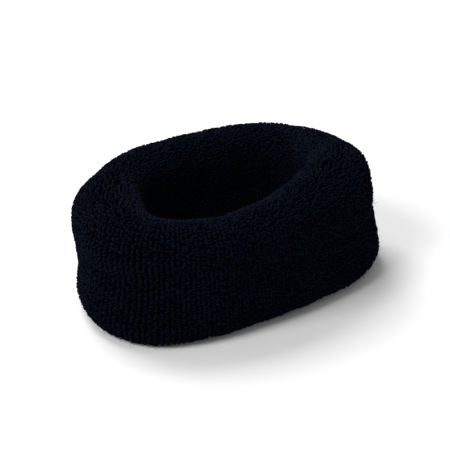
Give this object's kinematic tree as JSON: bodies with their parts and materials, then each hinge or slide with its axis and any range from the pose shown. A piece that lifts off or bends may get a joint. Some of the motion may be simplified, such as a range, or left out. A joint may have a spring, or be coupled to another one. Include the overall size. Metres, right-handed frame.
{
  "type": "sweat wristband",
  "caption": "Narrow oval sweat wristband of double terry cloth with rolled rims, a hidden overlocked seam on the wrist side and laid-in elastic yarn.",
  "frame": {"origin": "on the surface that the band lies on, under the middle of its opening", "axes": "+Z along the wrist, away from the surface; +X along the relaxed oval's long axis"},
  "size_m": [0.084, 0.058, 0.034],
  "materials": {
    "terry": "looped pile, matte",
    "ground_yarn": "knitted, matte",
    "sewing_thread": "spun, matte",
    "covered_elastic": "thread-covered"
  },
  "bodies": {
    "root": {"terry_pile": "terry", "ground_knit": "ground_yarn", "needle_thread": "sewing_thread", "upper_looper_thread": "sewing_thread", "lower_looper_thread": "sewing_thread", "elastic_turn_01": "covered_elastic", "elastic_turn_02": "covered_elastic", "elastic_turn_03": "covered_elastic", "elastic_turn_04": "covered_elastic", "elastic_turn_05": "covered_elastic", "elastic_turn_06": "covered_elastic", "elastic_turn_07": "covered_elastic", "elastic_turn_08": "covered_elastic", "elastic_turn_09": "covered_elastic", "elastic_turn_10": "covered_elastic", "elastic_turn_11": "covered_elastic", "elastic_turn_12": "covered_elastic", "elastic_turn_13": "covered_elastic", "elastic_turn_14": "covered_elastic", "elastic_turn_15": "covered_elastic", "elastic_turn_16": "covered_elastic", "elastic_turn_17": "covered_elastic", "elastic_turn_18": "covered_elastic"}
  },
  "joints": []
}
